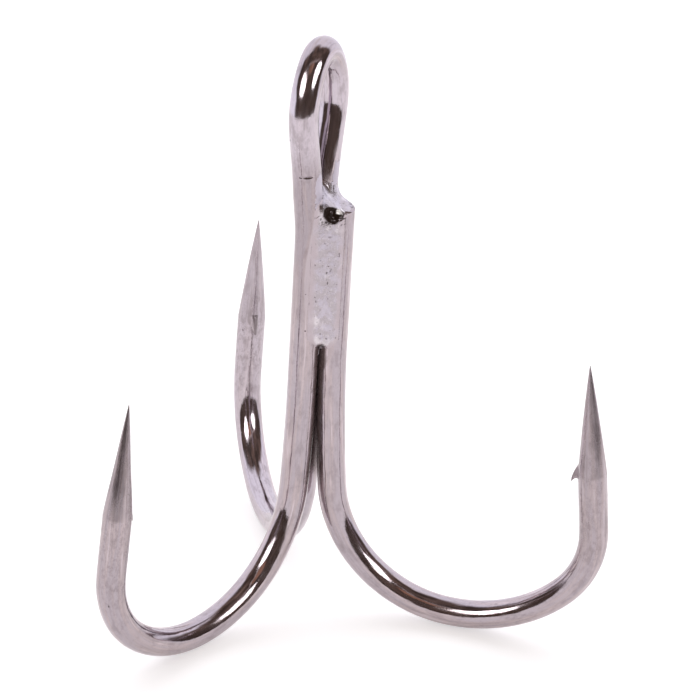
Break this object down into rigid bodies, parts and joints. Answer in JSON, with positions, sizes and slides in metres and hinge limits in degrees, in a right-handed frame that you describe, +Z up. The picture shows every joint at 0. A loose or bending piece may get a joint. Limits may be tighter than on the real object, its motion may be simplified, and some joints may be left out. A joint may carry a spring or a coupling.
{
  "type": "treble hook",
  "caption": "Treble fishing hook: a double-hook wire with an eye and a single-hook wire brazed into its groove, with ground points and inner barbs.",
  "frame": {"origin": "middle of the footprint, on the surface that the three bends stand on", "axes": "+Z up along the shanks to the eye; +X towards the single hook's point; the other two hooks point to 120 degrees on either side"},
  "size_m": [0.0248, 0.0266, 0.0337],
  "materials": {
    "plated_wire": "bright dark-nickel plating over hard-drawn steel wire, mirror smooth on the bends and the eye, duller on the points",
    "braze": "silver braze alloy under the same plating, smooth where it wetted, pitted at the cut end"
  },
  "bodies": {
    "root": {"double_hook_wire": "plated_wire", "single_hook_wire": "plated_wire", "braze_seam_front": "braze", "braze_seam_rear": "braze", "braze_seam_left": "braze", "braze_cap_and_core": "braze"}
  },
  "joints": []
}
